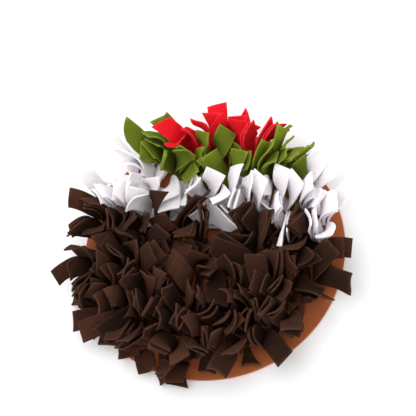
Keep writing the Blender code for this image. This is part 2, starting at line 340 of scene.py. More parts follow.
def along(curve, part):
    """A point on the curve, with part from 0 at the seam to 1 at the tip."""
    root, crest, tip = curve
    return root * (1 - part) ** 2 + crest * (2 * part * (1 - part)) + tip * part ** 2


def heading(curve, part):
    """The direction of the curve at a point."""
    root, crest, tip = curve
    return ((crest - root) * (1 - part) + (tip - crest) * part).normalized()


def half_turn(angle):
    """The same lie of a flat strip, reached by turning it a quarter turn at the most."""
    return (angle + math.pi / 2) % math.pi - math.pi / 2


def turn_to_fall(curve):
    """How far a tail turns about itself, from its seam, to bend over its flat face."""
    reach = curve[2] - curve[0]
    turn = half_turn(math.atan2(reach.y, reach.x))
    lean = min(1.0, reach.xy.length / reach.length / FULL_TURN_LEAN)
    return turn * lean


def tail_frames(curve, roll, sections):
    """Share of length, centre, width direction and face normal at each section of a tail."""
    twist = half_turn(turn_to_fall(curve) + math.radians(roll))
    frames = []
    direction = heading(curve, 0)
    across = (Vector((0, 1, 0)) - direction * direction.y).normalized()
    for part in sections:
        turned = heading(curve, part)
        across = direction.rotation_difference(turned) @ across
        direction = turned
        ease = min(1.0, part / TURN_END)
        ease = ease * ease * (3 - 2 * ease)
        width_way = Quaternion(direction, twist * ease) @ across
        frames.append((part, along(curve, part), width_way, direction.cross(width_way)))
    return frames


def gathered_width(part, gather=GATHER):
    """A strip is gathered where it is sewn, and has its full width a third of the way up."""
    spread = min(1.0, part / GATHER_END)
    return STRIP_WIDTH * (gather + (1 - gather) * math.sin(spread * math.pi / 2))


def ribbon(frames, spare=(0.0, 0.0), gather=GATHER):
    """Corners and faces of a closed ribbon. Spare is added all round, from seam to tip.

    The two wide faces are split along the same diagonal, so that a twisted ribbon keeps its
    thickness.
    """
    corners = []
    for part, centre, width_way, face_way in frames:
        extra = spare[0] + (spare[1] - spare[0]) * min(1.0, 2 * part)
        sideways = width_way * ((gathered_width(part, gather) + extra) / 2)
        outwards = face_way * ((STRIP_THICKNESS + extra) / 2)
        for across, through in ((-1, -1), (1, -1), (1, 1), (-1, 1)):
            corners.append(centre + sideways * across + outwards * through)
    faces = [(3, 2, 1, 0)]
    for step in range(len(frames) - 1):
        low = 4 * step
        high = low + 4
        faces += [(low, low + 1, high + 1), (low, high + 1, high)]
        faces += [(low + 2, low + 3, high + 2), (low + 3, high + 3, high + 2)]
        faces += [(low + 1, low + 2, high + 1), (low + 2, high + 2, high + 1)]
        faces += [(low + 3, low, high + 3), (low, high, high + 3)]
    last = 4 * (len(frames) - 1)
    faces.append((last, last + 1, last + 2, last + 3))
    return corners, faces


def touch_tree(curve, roll):
    """The space that a tail needs, as it is built and as a smooth curve, clearance included."""
    corners = []
    faces = []
    for sections, spare in ((TAIL_SECTIONS, BUILD_SPARE), (SMOOTH_SECTIONS, SMOOTH_SPARE)):
        start = len(corners)
        more_corners, more_faces = ribbon(tail_frames(curve, roll, sections), spare)
        corners.extend(more_corners)
        faces.extend(tuple(start + corner for corner in face) for face in more_faces)
    return BVHTree.FromPolygons(corners, faces)


def lies_well(curve, roll):
    """Whether a tail keeps off the base and doesn't fold back on itself at its edges."""
    frames = tail_frames(curve, roll, TAIL_SECTIONS)
    corners, faces = ribbon(frames)
    if min(corner.z for corner in corners[4:]) < TAIL_FLOOR:
        return False
    for step in range(len(frames) - 1):
        for _, _, width_way, face_way in frames[step:step + 2]:
            onwards = width_way.cross(face_way)
            for corner in range(4 * step, 4 * step + 4):
                if (corners[corner + 4] - corners[corner]).dot(onwards) < SHORTEST_EDGE:
                    return False
    tree = BVHTree.FromPolygons(corners, faces)
    return all(set(faces[one]) & set(faces[other]) for one, other in tree.overlap(tree))


def drift(place, name):
    """A slow waver across the mat, between -1 and 1, so that neighbouring tails lie alike."""
    x = place.x / DRIFT_SPAN
    y = place.y / DRIFT_SPAN
    phase = DRIFT_PHASES[name]
    waves = [
        math.sin(2 * math.pi * (across * x + lengthways * y) + share * phase)
        for across, lengthways, share in DRIFT_WAVES
    ]
    return sum(waves) / len(waves)


def lean_of(root, side, dice, scatter):
    """The sideways reach of a tail's tip, as a share of its chord."""
    out = root.xy / BASE_RADIUS
    sideways = RIM_LEAN_RIGHT if out.x > 0 else RIM_LEAN_LEFT
    lengthways = RIM_LEAN_BACK if out.y > 0 else RIM_LEAN_FRONT
    lean = Vector((out.x * sideways, out.y * lengthways)) * out.length
    lean += Vector((side * SPLAY, 0))
    lean += Vector((drift(root, "across"), drift(root, "lengthways"))) * DRIFT_LEAN
    lean += Vector((dice.gauss(0, scatter), dice.gauss(0, scatter)))
    if lean.length > LARGEST_LEAN:
        lean *= LARGEST_LEAN / lean.length
    return lean


def draw_tail(root, side, dice, progress, shorter):
    """One way in which a tail could lie. Each draw strays further from the fan of the pile."""
    stray = STRAY[0] + (STRAY[1] - STRAY[0]) * progress
    lean = lean_of(root, side, dice, SCATTER * stray)
    chord = TAIL_LENGTH * dice.uniform(*TAIL_CHORD) * shorter
    height = math.sqrt(1 - lean.length_squared)
    tip = root + Vector((lean.x, lean.y, height)) * chord
    tip.z = max(tip.z, LOWEST_TIP)
    roll = DRIFT_ROLL * drift(root, "roll") + dice.gauss(0, ROLL_SPREAD * stray)
    return tail_curve(root, tip, side), roll


def key_tail(root, side, target, dice, give):
    """A key tail as the table gives it, or a little off its mark where others are in its way."""
    *place, roll = target
    tip = Vector(place) * MM
    if give:
        tip += Vector((dice.gauss(0, 1), dice.gauss(0, 1), dice.gauss(0, 1))) * (KEY_GIVE * give)
        roll += dice.gauss(0, KEY_ROLL_GIVE * give)
    reach = tip - root
    longest = TAIL_CHORD[1] * TAIL_LENGTH
    if reach.length > longest:
        reach *= longest / reach.length
    return tail_curve(root, root + reach, side), roll


def near_trees(trees, place, distance):
    """The tails laid so far that are sewn near a place."""
    return [tree for root, tree in trees if (root - place).length < distance]


def find_room(root, laid, tries, draw):
    """The first drawn lie of a tail that is clear of the seams and of every laid tail."""
    near = near_trees(laid, root, NEIGHBOUR)
    for attempt in range(tries):
        curve, roll = draw(attempt)
        if not lies_well(curve, roll):
            continue
        tree = touch_tree(curve, roll)
        if not any(tree.overlap(other) for other in near):
            return curve, roll, tree
    return None


def place_tails():
    """Lay every tail of the mat so that it stays clear of the others.

    The key tails come first. The rest are drawn from the outside inwards, and each takes the
    first of its drawn leans that is clear. Where none is, the tail is cut shorter. Each tail
    has its own seeded dice, so that a change to one leaves the others much as they were.
    """
    roots = {}
    for seam, *runs in SEAMS:
        for index in range(sum(runs)):
            for side in (-1, 1):
                roots[(seam, index, side)] = tail_root(seam, sum(runs), index, side)
    found = {}
    trees = []

    def keep(slot, lie):
        found[slot] = lie[:2]
        trees.append((roots[slot], lie[2]))

    for seam, index, side, *target in KEY_TAILS:
        slot = (seam, index, side)
        dice = random.Random(f"{PILE_SEED} {slot}")
        lie = find_room(
            roots[slot], trees, TRIES,
            lambda attempt: key_tail(roots[slot], side, target, dice, attempt / TRIES),
        )
        if lie:
            keep(slot, lie)
    for slot in sorted(roots, key=lambda slot: -roots[slot].xy.length):
        if slot in found:
            continue
        dice = random.Random(f"{PILE_SEED} {slot}")
        for shorter in SHORTER:
            lie = find_room(
                roots[slot], trees, TRIES,
                lambda attempt: draw_tail(roots[slot], slot[2], dice, attempt / TRIES, shorter),
            )
            if lie:
                keep(slot, lie)
                break
    return found


# A tail of the whole pile: its curve, the roll about its own length, how wide it is where it is
# sewn, and how far its strip is turned from the run of the seams.
Lie = namedtuple("Lie", "curve roll gather turn")


def turned_frames(lie, sections):
    """The frames of a tail, with its strip turned about the upright."""
    spin = Quaternion((0, 0, 1), lie.turn)
    unturned = tuple(spin.inverted() @ point for point in lie.curve)
    return [
        (part, spin @ centre, spin @ width_way, spin @ face_way)
        for part, centre, width_way, face_way in tail_frames(unturned, lie.roll, sections)
    ]


def lie_ribbon(lie, sections):
    """Corners and faces of the room that a tail of the pile needs."""
    return ribbon(turned_frames(lie, sections), SPARE, lie.gather)


def first_clear(tries, draw, near, sections, rim, floor=None):
    """The first drawn tail that stays within the rim and clear of its neighbours, and its tree.

    Where a floor is given, it stays above that too.
    """
    for attempt in range(tries):
        lie = draw(attempt / tries)
        if lie.curve[2].xy.length > rim:
            continue
        corners, faces = lie_ribbon(lie, sections)
        if floor is not None and min(corner.z for corner in corners) < floor:
            continue
        tree = BVHTree.FromPolygons(corners, faces)
        if not any(tree.overlap(other) for other in near):
            return lie, tree
    return None


def keep_tail(pile, slot, found, trees):
    """Add a tail to the pile, where a draw had room."""
    if found:
        lie, tree = found
        pile[slot] = lie
        trees.append((lie.curve[0], tree))


def twin_tail(lie, face, dice, progress):
    """A tail like a laid one that lies along it, off its front (1) or its back (-1)."""
    root, crest, tip = lie.curve
    frames = tail_frames(lie.curve, lie.roll, (0.0, 0.5, 1.0))
    normals = [face_way for _, _, _, face_way in frames]
    gap = face * dice.uniform(TWIN_GAP[0], TWIN_GAP[0] + (TWIN_GAP[1] - TWIN_GAP[0]) * progress)
    stray = TWIN_STRAY * progress
    offsets = [normal * gap for normal in normals]
    offsets[0].z = 0
    offsets[2] += Vector((dice.gauss(0, stray), dice.gauss(0, stray), dice.gauss(0, stray / 2)))
    offsets[2] += normals[2] * (gap * dice.uniform(0, progress))
    whole = (
        root + offsets[0] + Vector((0, dice.gauss(0, TWIN_SLIDE), 0)),
        crest + offsets[1] * 2 - (offsets[0] + offsets[2]) / 2,
        tip + offsets[2],
    )
    share = dice.uniform(*TWIN_LENGTH)
    end = along(whole, share)
    end.z = max(end.z, LOWEST_TIP)
    twin = (whole[0], whole[0].lerp(whole[1], share), end)
    turn = math.degrees(turn_to_fall(lie.curve) - turn_to_fall(twin))
    roll = lie.roll + turn + dice.gauss(0, TWIN_ROLL * progress)
    return Lie(twin, roll, GATHER, 0.0)


def place_twins(parents, trees):
    """More tails, each along the front or the back of one of the parents.

    A twin has its parent's slot, with the letter of its face added to the parent's kind.
    """
    twins = {}
    for slot in sorted(parents):
        parent = parents[slot]
        for letter, face in (("b", -1), ("f", 1)):
            dice = random.Random(f"{PILE_SEED} twin {slot} {letter}")
            found = first_clear(
                TWIN_TRIES, lambda progress: twin_tail(parent, face, dice, progress),
                near_trees(trees, parent.curve[0], NEIGHBOUR), TWIN_SECTIONS, TWIN_RIM, TWIN_FLOOR,
            )
            keep_tail(twins, (*slot[:3], slot[3] + letter), found, trees)
    return twins


def low_tail(root, side, dice, progress):
    """One way in which a flattened tail could lie beside its seam. Later draws are shorter."""
    reach = LOW_REACH[1] + (LOW_REACH[0] - LOW_REACH[1]) * progress
    tip = root + Vector((side * reach, dice.gauss(0, LOW_SLANT) * reach, 0))
    tip.z = dice.uniform(*LOW_TIP_Z)
    crest = root + Vector((side * LOW_CREST[0] * reach, 0, LOW_CREST[1] * (tip.z - root.z)))
    return Lie((root, crest, tip), dice.gauss(0, LOW_ROLL), LOW_GATHER, 0.0)


def place_low(trees):
    """Flattened tails on the bare felt between the seams, where the others leave room."""
    low = {}
    for seam, *runs in SEAMS:
        count = sum(runs)
        for step in range(LOW_PER_PITCH * count):
            index = step // LOW_PER_PITCH
            for side in (-1, 1):
                root = tail_root(seam, count, (step - 0.5) / LOW_PER_PITCH, side)
                root += Vector((side * LOW_START, 0, LOW_ROOT_LIFT))
                dice = random.Random(f"{PILE_SEED} low {seam} {step} {side}")
                found = first_clear(
                    LOW_TRIES, lambda progress: low_tail(root, side, dice, progress),
                    near_trees(trees, root, LOW_NEIGHBOUR), SMOOTH_SECTIONS, LOW_RIM,
                )
                keep_tail(low, (seam, index, side, f"low {step}"), found, trees)
    return low


def front_tail(end, dice, progress):
    """One way in which a tail could lie out over the front rim. Later draws start further out."""
    start = FRONT_START[0] + (FRONT_START[1] - FRONT_START[0]) * progress
    root = end - Vector((0, start, 0))
    reach = dice.uniform(*FRONT_REACH)
    turn = math.atan2(root.y, root.x) + dice.gauss(0, FRONT_FAN)
    outwards = Vector((math.cos(turn), math.sin(turn), 0))
    rise = Vector((0, 0, dice.uniform(*FRONT_TIP_Z) - root.z))
    crest = root + outwards * (LOW_CREST[0] * reach) + rise * LOW_CREST[1]
    tip = root + outwards * reach + rise
    return Lie((root, crest, tip), dice.gauss(0, LOW_ROLL), LOW_GATHER, turn)


def place_front(trees):
    """Flattened tails that fan out over the felt from the front end of each seam."""
    front = {}
    for seam, *runs in SEAMS:
        count = sum(runs)
        last = strip_y(count, count - 1)
        rim = FRONT_RIM_LEFT if seam < MIDDLE_SEAM else FRONT_RIM_RIGHT
        for step, place in enumerate(FRONT_PLACES):
            end = Vector((seam_x(seam) + place, last, TAIL_ROOT_Z + LOW_ROOT_LIFT))
            dice = random.Random(f"{PILE_SEED} front {seam} {step}")
            found = first_clear(
                FRONT_TRIES, lambda progress: front_tail(end, dice, progress),
                near_trees(trees, end, NEIGHBOUR), SMOOTH_SECTIONS, rim,
            )
            keep_tail(front, (seam, count - 1, -1, f"low front {step}"), found, trees)
    return front


PILE = {}


def whole_pile():
    """Every tail of the mat, laid once: its slot to its lie.

    A slot is a seam, a strip, a side and a kind, which is empty for the tails of the solids.
    """
    if not PILE:
        laid = {
            (*slot, ""): Lie(curve, roll, GATHER, 0.0)
            for slot, (curve, roll) in place_tails().items()
        }
        trees = [
            (lie.curve[0], BVHTree.FromPolygons(*lie_ribbon(lie, SMOOTH_SECTIONS)))
            for lie in laid.values()
        ]
        twins = place_twins(laid, trees)
        for added in (laid, twins, place_twins(twins, trees), place_low(trees), place_front(trees)):
            PILE.update(added)
    return PILE


class Shape:
    """How one tail curls, waves and was cut. Amount scales the curl down where it would touch."""

    def __init__(self, dice, cloth):
        self.cup = dice.gauss(*CUP) * cloth.curl
        self.corner = dice.gauss(0, CORNER_SPREAD) * cloth.curl
        self.corner_side = dice.choice((-1, 1))
        self.nod = dice.gauss(0, NOD_SPREAD) * cloth.curl
        self.ripple = dice.uniform(*RIPPLE_SHARE) * cloth.ripple
        self.waves = dice.uniform(*WAVES)
        self.phase = dice.uniform(0, 2 * math.pi)
        self.skew = dice.gauss(0, SKEW_SPREAD)
        self.width = dice.uniform(*WIDTH_SHARE)
        self.tone = dice.uniform(-1, 1)
        self.amount = 1.0


def tail_point(frame_at, across, gather, shape):
    """A point of the cloth's middle surface, across from -1 to 1 over its width."""
    part, centre, width_way, face_way = frame_at
    onwards = width_way.cross(face_way)
    half = gathered_width(part, gather) * shape.width / 2
    free = min(1.0, part / FREE_FROM)
    growth = 1 - CUP_GROWTH + CUP_GROWTH * part
    cup = shape.cup * half * (across * across - CUP_MIDDLE) * free * growth
    corner = shape.corner * half * max(0.0, across * shape.corner_side) ** 2 * part ** 3
    nod = shape.nod * TAIL_LENGTH * part ** 3
    wave = math.sin(shape.waves * 2 * math.pi * part + shape.phase + RIPPLE_SLANT * across)
    ripple = shape.ripple * wave * across * free
    lift = (cup + corner + nod + ripple) * shape.amount
    point = centre + width_way * (across * half) + face_way * lift
    point += onwards * (shape.skew * across * half * part ** 3)
    point.z = max(point.z, CLOTH_FLOOR)
    return point


def tail_grid(lie, shape, rows, columns):
    """Rows of points from the seam to the tip of one tail."""
    sections = [CLOTH_START + (1 - CLOTH_START) * row / rows for row in range(rows + 1)]
    return [
        [
            tail_point(frame_at, 2 * column / columns - 1, lie.gather, shape)
            for column in range(columns + 1)
        ]
        for frame_at in turned_frames(lie, (0.0, *sections))[1:]
    ]


def grid_faces(start, rows, width):
    """Quads of a grid of points whose first point has the number start."""
    faces = []
    for row in range(rows - 1):
        for column in range(width - 1):
            low = start + row * width + column
            faces.append((low, low + 1, low + width + 1, low + width))
    return faces


def curl_tree(lie, shape):
    """A tree of the middle surface of one curled tail, above its seam."""
    grid = tail_grid(lie, shape, *CURL_GRID)[1:]
    points = [point for row in grid for point in row]
    faces = grid_faces(0, len(grid), len(grid[0]))
    return BVHTree.FromPolygons(points, faces, epsilon=CURL_CLEARANCE)


SHAPES = {}


def pile_shapes(cloth):
    """Every tail's shape, where it curls as much as its neighbours leave room for.

    It is worked out once for each setting of the curl and the ripple.
    """
    setting = (cloth.curl, cloth.ripple)
    if setting in SHAPES:
        return SHAPES[setting]
    pile = whole_pile()
    shapes = {}
    trees = {}
    for slot in sorted(pile):
        shape = Shape(random.Random(f"{PILE_SEED} shape {slot}"), cloth)
        shape.amount = 0.0
        trees[slot] = curl_tree(pile[slot], shape)
        shapes[slot] = shape
    for slot in sorted(pile):
        root = pile[slot].curve[0]
        clear = [
            trees[other] for other in pile
            if other != slot and (pile[other].curve[0] - root).length < NEIGHBOUR
            and not trees[slot].overlap(trees[other])
        ]
        for amount in CURL_AMOUNTS:
            shapes[slot].amount = amount
            trees[slot] = curl_tree(pile[slot], shapes[slot])
            if not any(trees[slot].overlap(other) for other in clear):
                break
    SHAPES[setting] = shapes
    return shapes


def tail_rows(slot, cloth):
    """Rows of points of one tail from its seam to its tip, with a tone for each row."""
    shape = pile_shapes(cloth)[slot]
    rows = cloth.rows // 2 if slot[3].startswith("low") else cloth.rows
    grid = tail_grid(whole_pile()[slot], shape, rows, cloth.columns)
    return grid, [shape.tone] * len(grid)


def strip_rows(seam, count, index, cloth):
    """Rows of points of one strip, from one tip through the fold to the other, with its tones."""
    pile = whole_pile()
    (left, left_tones), (right, right_tones) = (
        tail_rows(slot, cloth) if slot in pile else ([], [])
        for slot in ((seam, index, -1, ""), (seam, index, 1, ""))
    )
    ends = left_tones[:1] + right_tones[:1]
    if not ends:
        return [], []
    fold_middle = Vector((seam_x(seam), strip_y(count, index), CLOTH_FLOOR))
    half = gathered_width(0) / 2
    fold = [
        fold_middle + Vector((0, (2 * column / cloth.columns - 1) * half, 0))
        for column in range(cloth.columns + 1)
    ]
    fold_tone = sum(ends) / len(ends)
    return left[::-1] + [fold] + right, left_tones + [fold_tone] + right_tones


def strips_mesh(name, seam, count, indices, cloth):
    """The middle surfaces of a run of strips as one mesh, with edge and tone attributes.

    Returns the object, the flat area of its cloth and the length of its longest strip.
    """
    points = []
    faces = []
    edges = []
    tones = []
    area = 0.0
    longest = 0.0
    strips = [strip_rows(seam, count, index, cloth) for index in indices]
    for slot in sorted(whole_pile()):
        if slot[0] == seam and slot[1] in indices and slot[3]:
            strips.append(tail_rows(slot, cloth))
    for rows, tone in strips:
        if not rows:
            continue
        width = len(rows[0])
        faces += grid_faces(len(points), len(rows), width)
        for number, row in enumerate(rows):
            for column, point in enumerate(row):
                points.append(point)
                at_edge = column in (0, width - 1) or number in (0, len(rows) - 1)
                edges.append(1.0 if at_edge else 0.0)
                tones.append(tone[number])
        middle = [row[width // 2] for row in rows]
        length = sum((after - before).length for before, after in zip(middle, middle[1:]))
        area += length * STRIP_WIDTH
        longest = max(longest, length)
    mesh = bpy.data.meshes.new(name)
    mesh.from_pydata([tuple(point) for point in points], [], faces)
    for label, values in (("cut_edge", edges), ("tone", tones)):
        layer = mesh.attributes.new(label, "FLOAT", "POINT")
        layer.data.foreach_set("value", values)
    piece = bpy.data.objects.new(name, mesh)
    bpy.context.scene.collection.objects.link(piece)
    return piece, area, longest


def apply_modifier(piece, kind, label, **settings):
    """Add one modifier to a piece and apply it."""
    bpy.ops.object.select_all(action="DESELECT")
    piece.select_set(True)
    bpy.context.view_layer.objects.active = piece
    modifier = piece.modifiers.new(label, kind)
    for setting, value in settings.items():
        setattr(modifier, setting, value)
    bpy.ops.object.modifier_apply(modifier=modifier.name)


def node(tree, kind, place, **values):
    """Add a shader node at a place in the node editor."""
    made = tree.nodes.new(kind)
    made.location = (place[0] * NODE_SPACING, place[1] * NODE_SPACING)
    for label, value in values.items():
        made.inputs[label].default_value = value
    return made


def mix_colour(tree, place, factor, first, second):
    """Mix two colours by a factor. The factor is a socket, and each colour a socket or a value."""
    mix = node(tree, "ShaderNodeMix", place)
    mix.data_type = "RGBA"
    for label, value in (("Factor", factor), (6, first), (7, second)):
        if isinstance(value, bpy.types.NodeSocket):
            tree.links.new(value, mix.inputs[label])
        else:
            mix.inputs[label].default_value = (*value, 1.0)
    return mix.outputs[2]


def ramp(tree, place, source, before, after):
    """Map a value from one range to another, clamped. Each range is its first and last value."""
    scale = node(tree, "ShaderNodeMapRange", place)
    scale.inputs["From Min"].default_value, scale.inputs["From Max"].default_value = before
    scale.inputs["To Min"].default_value, scale.inputs["To Max"].default_value = after
    tree.links.new(source, scale.inputs["Value"])
    return scale.outputs["Result"]


def noise(tree, place, where, **values):
    """The strength of a noise pattern at a place of the cloth."""
    made = node(tree, "ShaderNodeTexNoise", place, **values)
    tree.links.new(where, made.inputs["Vector"])
    return made.outputs["Fac"]


def attribute(tree, place, label):
    """A number that the mesh carries at each point."""
    made = node(tree, "ShaderNodeAttribute", place)
    made.attribute_name = label
    return made.outputs["Fac"]


def combine(tree, place, operation, first, second):
    """The result of an operation on two values. Each is a socket or a number."""
    made = node(tree, "ShaderNodeMath", place)
    made.operation = operation
    for socket, value in zip(made.inputs, (first, second)):
        if isinstance(value, bpy.types.NodeSocket):
            tree.links.new(value, socket)
        else:
            socket.default_value = value
    return made.outputs[0]


def speckled(tree, place, colour, strength):
    """A colour made lighter and darker by a strength near 1."""
    made = node(tree, "ShaderNodeVectorMath", place)
    made.operation = "SCALE"
    tree.links.new(colour, made.inputs[0])
    tree.links.new(strength, made.inputs["Scale"])
    return made.outputs[0]


def cloth_shader(name):
    """A new material, with its node tree, its shader and the object coordinates."""
    material = bpy.data.materials.new(name)
    material.use_nodes = True
    tree = material.node_tree
    where = node(tree, "ShaderNodeTexCoord", (-8, 0)).outputs["Object"]
    return material, tree, tree.nodes["Principled BSDF"], where


def finish_shader(tree, shader, colour, height, strength, depth, **values):
    """Link the colour and the bump of a cloth to its shader, and set the shader's own values."""
    bump = node(tree, "ShaderNodeBump", (-1, -2), Strength=strength, Distance=depth)
    tree.links.new(colour, shader.inputs["Base Color"])
    tree.links.new(height, bump.inputs["Height"])
    tree.links.new(bump.outputs["Normal"], shader.inputs["Normal"])
    for label, value in values.items():
        shader.inputs[label.replace("_", " ")].default_value = value


def fleece_material(name, colour, shade, highlight, sheen):
    """Brushed fleece: fine grain, soft mottling, a tone per tail and a paler painted highlight on
    cut edges, where fuzz catches the light.
    """
    material, tree, shader, where = cloth_shader(name)
    grain = noise(tree, (-6, 0), where, Scale=GRAIN_SCALE, Detail=5, Roughness=0.65)
    fluff = noise(tree, (-6, -2), where, Scale=FLUFF_SCALE, Detail=4, Roughness=0.6)
    cloud = noise(tree, (-6, -4), where, Scale=CLOUD_SCALE, Detail=2, Roughness=0.5)
    by_tone = ramp(tree, (-4, 2), attribute(tree, (-6, 2), "tone"), (-1, 1), (0.0, 0.85))
    by_cloud = ramp(tree, (-4, -4), cloud, (0.35, 0.65), (0.0, 0.5))
    base = mix_colour(tree, (-3, 2), by_tone, colour, shade)
    base = mix_colour(tree, (-2, 1), by_cloud, base, shade)
    by_grain = ramp(tree, (-4, 0), grain, (0.3, 0.7), (0.78, 1.22))
    # Towards the cut edges the colour is lightened, broken up by the fluff: a painted highlight
    # where fuzz catches the light. The same colour also tints the sheen.
    near_edge = combine(tree, (-4, 3), "POWER", attribute(tree, (-6, 3), "cut_edge"), 3.0)
    by_fluff = ramp(tree, (-4, -2), fluff, (0.35, 0.6), (0.15, 0.8))
    highlight_mask = combine(tree, (-3, 3), "MULTIPLY", near_edge, by_fluff)
    finished = mix_colour(tree, (-1, 1), highlight_mask, speckled(tree, (-2, 0), base, by_grain), highlight)
    height = combine(tree, (-3, -2), "ADD", grain, fluff)
    finish_shader(
        tree, shader, finished, height, 0.55, 0.6 * MM, Roughness=0.95, Specular_IOR_Level=0.15,
        Sheen_Weight=sheen, Sheen_Roughness=0.6, Sheen_Tint=(*highlight, 1.0),
    )
    return material


def felt_material(name, colour, shade):
    """Needle felt: short matted fibres in soft patches."""
    material, tree, shader, where = cloth_shader(name)
    fibre = noise(
        tree, (-6, 0), where, Scale=FIBRE_SCALE, Detail=6, Roughness=0.7, Distortion=1.6,
    )
    patch = noise(tree, (-6, -3), where, Scale=PATCH_SCALE, Detail=3)
    by_patch = ramp(tree, (-4, -3), patch, (0.35, 0.7), (0.0, 0.6))
    base = mix_colour(tree, (-3, 1), by_patch, colour, shade)
    by_fibre = ramp(tree, (-4, 0), fibre, (0.3, 0.7), (0.8, 1.2))
    finish_shader(
        tree, shader, speckled(tree, (-2, 0), base, by_fibre), fibre, 0.4, 0.5 * MM,
        Roughness=0.9, Specular_IOR_Level=0.2,
        Sheen_Weight=0.25, Sheen_Roughness=0.6, Sheen_Tint=(*colour, 1.0),
    )
    return material


def linear(colour):
    """A screen colour, 0 to 255 a channel, as linear light by the usual sRGB curve."""
    return tuple(
        ((value / 255 + 0.055) / 1.055) ** 2.4 if value > 10 else value / 255 / 12.92
        for value in colour
    )


def colour_property(label, about, screen):
    """A colour setting whose default is given as the colour seen on the screen."""
    return bpy.props.FloatVectorProperty(
        name=label, description=about, default=linear(screen), subtype="COLOR", size=3,
        min=0, max=1,
    )


class MatCloth(bpy.types.PropertyGroup):
    """How thick the cloth is, and how it curls."""

    strip_thickness: bpy.props.FloatProperty(
        name="Strip Thickness", description="Thickness of the fleece", default=1.7 * MM,
        min=1 * MM, max=3 * MM, subtype="DISTANCE", unit="LENGTH",
    )
    curl: bpy.props.FloatProperty(
        name="Curl", description="How much the tails cup and curl", default=1.0, min=0, max=2,
        subtype="FACTOR",
    )
    ripple: bpy.props.FloatProperty(
        name="Ripple", description="How far the long edges wave", default=0.9 * MM,
        min=0, max=3 * MM, subtype="DISTANCE", unit="LENGTH",
    )
    edge_round: bpy.props.FloatProperty(
        name="Edge Rounding", description="Rounding of the cut edges of the fleece",
        default=0.45 * MM, min=0.1 * MM, max=0.8 * MM, subtype="DISTANCE", unit="LENGTH",
    )
    rows: bpy.props.IntProperty(
        name="Rows", description="Faces along a tail", default=12, min=4, max=20,
    )
    columns: bpy.props.IntProperty(
        name="Columns", description="Faces across a tail", default=6, min=4, max=10,
    )
    base_rim: bpy.props.FloatProperty(
        name="Rim Rounding", description="Rounding of the cut rim of the felt", default=0.7 * MM,
        min=0.1 * MM, max=1.4 * MM, subtype="DISTANCE", unit="LENGTH",
    )
    base_lift: bpy.props.FloatProperty(
        name="Rim Lift", description="How far the felt's rim lifts in places", default=1.2 * MM,
        min=0, max=4 * MM, subtype="DISTANCE", unit="LENGTH",
    )


class MatColours(bpy.types.PropertyGroup):
    """The colours of the felt and of the four fleeces."""

    # The third colour of each fleece is a painted highlight on its cut edges, where fuzz catches
    # the light; it also tints that fleece's sheen.
    felt: colour_property("Felt", "Rust-brown felt of the base", (164, 90, 51))
    felt_shade: colour_property("Felt Shade", "Darker patches of the felt", (144, 73, 40))
    red: colour_property("Red", "Red fleece", (232, 26, 40))
    red_shade: colour_property("Red Shade", "Deeper red", (196, 8, 22))
    red_highlight: colour_property("Red Highlight", "Cut edges of the red fleece", (240, 50, 60))
    green: colour_property("Green", "Green fleece", (124, 140, 36))
    green_shade: colour_property("Green Shade", "Deeper green", (74, 88, 15))
    green_highlight: colour_property("Green Highlight", "Cut edges of the green fleece", (140, 154, 54))
    white: colour_property("White", "White fleece", (249, 244, 247))
    white_shade: colour_property("White Shade", "Cooler white", (240, 234, 239))
    white_highlight: colour_property("White Highlight", "Cut edges of the white fleece", (251, 249, 252))
    brown: colour_property("Brown", "Dark brown fleece", (76, 45, 31))
    brown_shade: colour_property("Brown Shade", "Deeper brown", (31, 17, 11))
    brown_highlight: colour_property("Brown Highlight", "Cut edges of the brown fleece", (80, 51, 38))


class MatStudio(bpy.types.PropertyGroup):
    """The studio light and the camera."""

    key_power: bpy.props.FloatProperty(
        name="Key Light", description="Power of the large soft light", default=8, min=0,
        subtype="POWER", unit="POWER",
    )
    surround: bpy.props.FloatProperty(
        name="Surround", description="Strength of the pale surround", default=1.08, min=0, max=4,
        subtype="FACTOR",
    )
    azimuth: bpy.props.FloatProperty(
        name="Camera Azimuth", description="From straight in front towards the right",
        default=math.radians(36.0), subtype="ANGLE", unit="ROTATION",
    )
    elevation: bpy.props.FloatProperty(
        name="Camera Elevation", description="Above the floor", default=math.radians(63.26),
        subtype="ANGLE", unit="ROTATION",
    )
    roll: bpy.props.FloatProperty(
        name="Camera Roll", description="About the line of sight", default=math.radians(-27.42),
        subtype="ANGLE", unit="ROTATION",
    )
    distance: bpy.props.FloatProperty(
        name="Camera Distance", description="From the point that it looks at", default=1.2,
        min=0.3, subtype="DISTANCE", unit="LENGTH",
    )


def comb_runs(colour):
    """Seam, strip count, and the places of the strips, of each run of one colour."""
    for seam, *runs in SEAMS:
        count = sum(runs)
        first = 0
        for name, run in zip(COLOURS, runs):
            if name == colour and run:
                yield seam, count, range(first, first + run)
            first += run


def build_tails(context, colour):
    """Every comb of one colour, each in the place of its solid."""
    cloth = context.scene.mat_cloth
    colours = context.scene.mat_colours
    material = fleece_material(
        colour + "_fleece",
        getattr(colours, colour),
        getattr(colours, colour + "_shade"),
        # The painted highlight of the cut edges, which also tints the sheen.
        getattr(colours, colour + "_highlight"),
        SHEEN[colour],
    )
    for seam, count, indices in comb_runs(colour):
        solid = f"{colour}_comb_{seam:02d}"
        name = f"{colour}_tails_{seam:02d}"
        piece, area, longest = strips_mesh(name, seam, count, indices, cloth)
        apply_modifier(piece, "SOLIDIFY", "Thickness", thickness=cloth.strip_thickness, offset=0.0)
        apply_modifier(
            piece, "BEVEL", "Cut Edge", width=cloth.edge_round, segments=2,
            limit_method="ANGLE", angle_limit=math.radians(FLEECE_EDGE),
        )
        piece.data.materials.append(material)
        bpy.ops.object.shade_smooth()
        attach(piece, "root")
        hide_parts(solid)


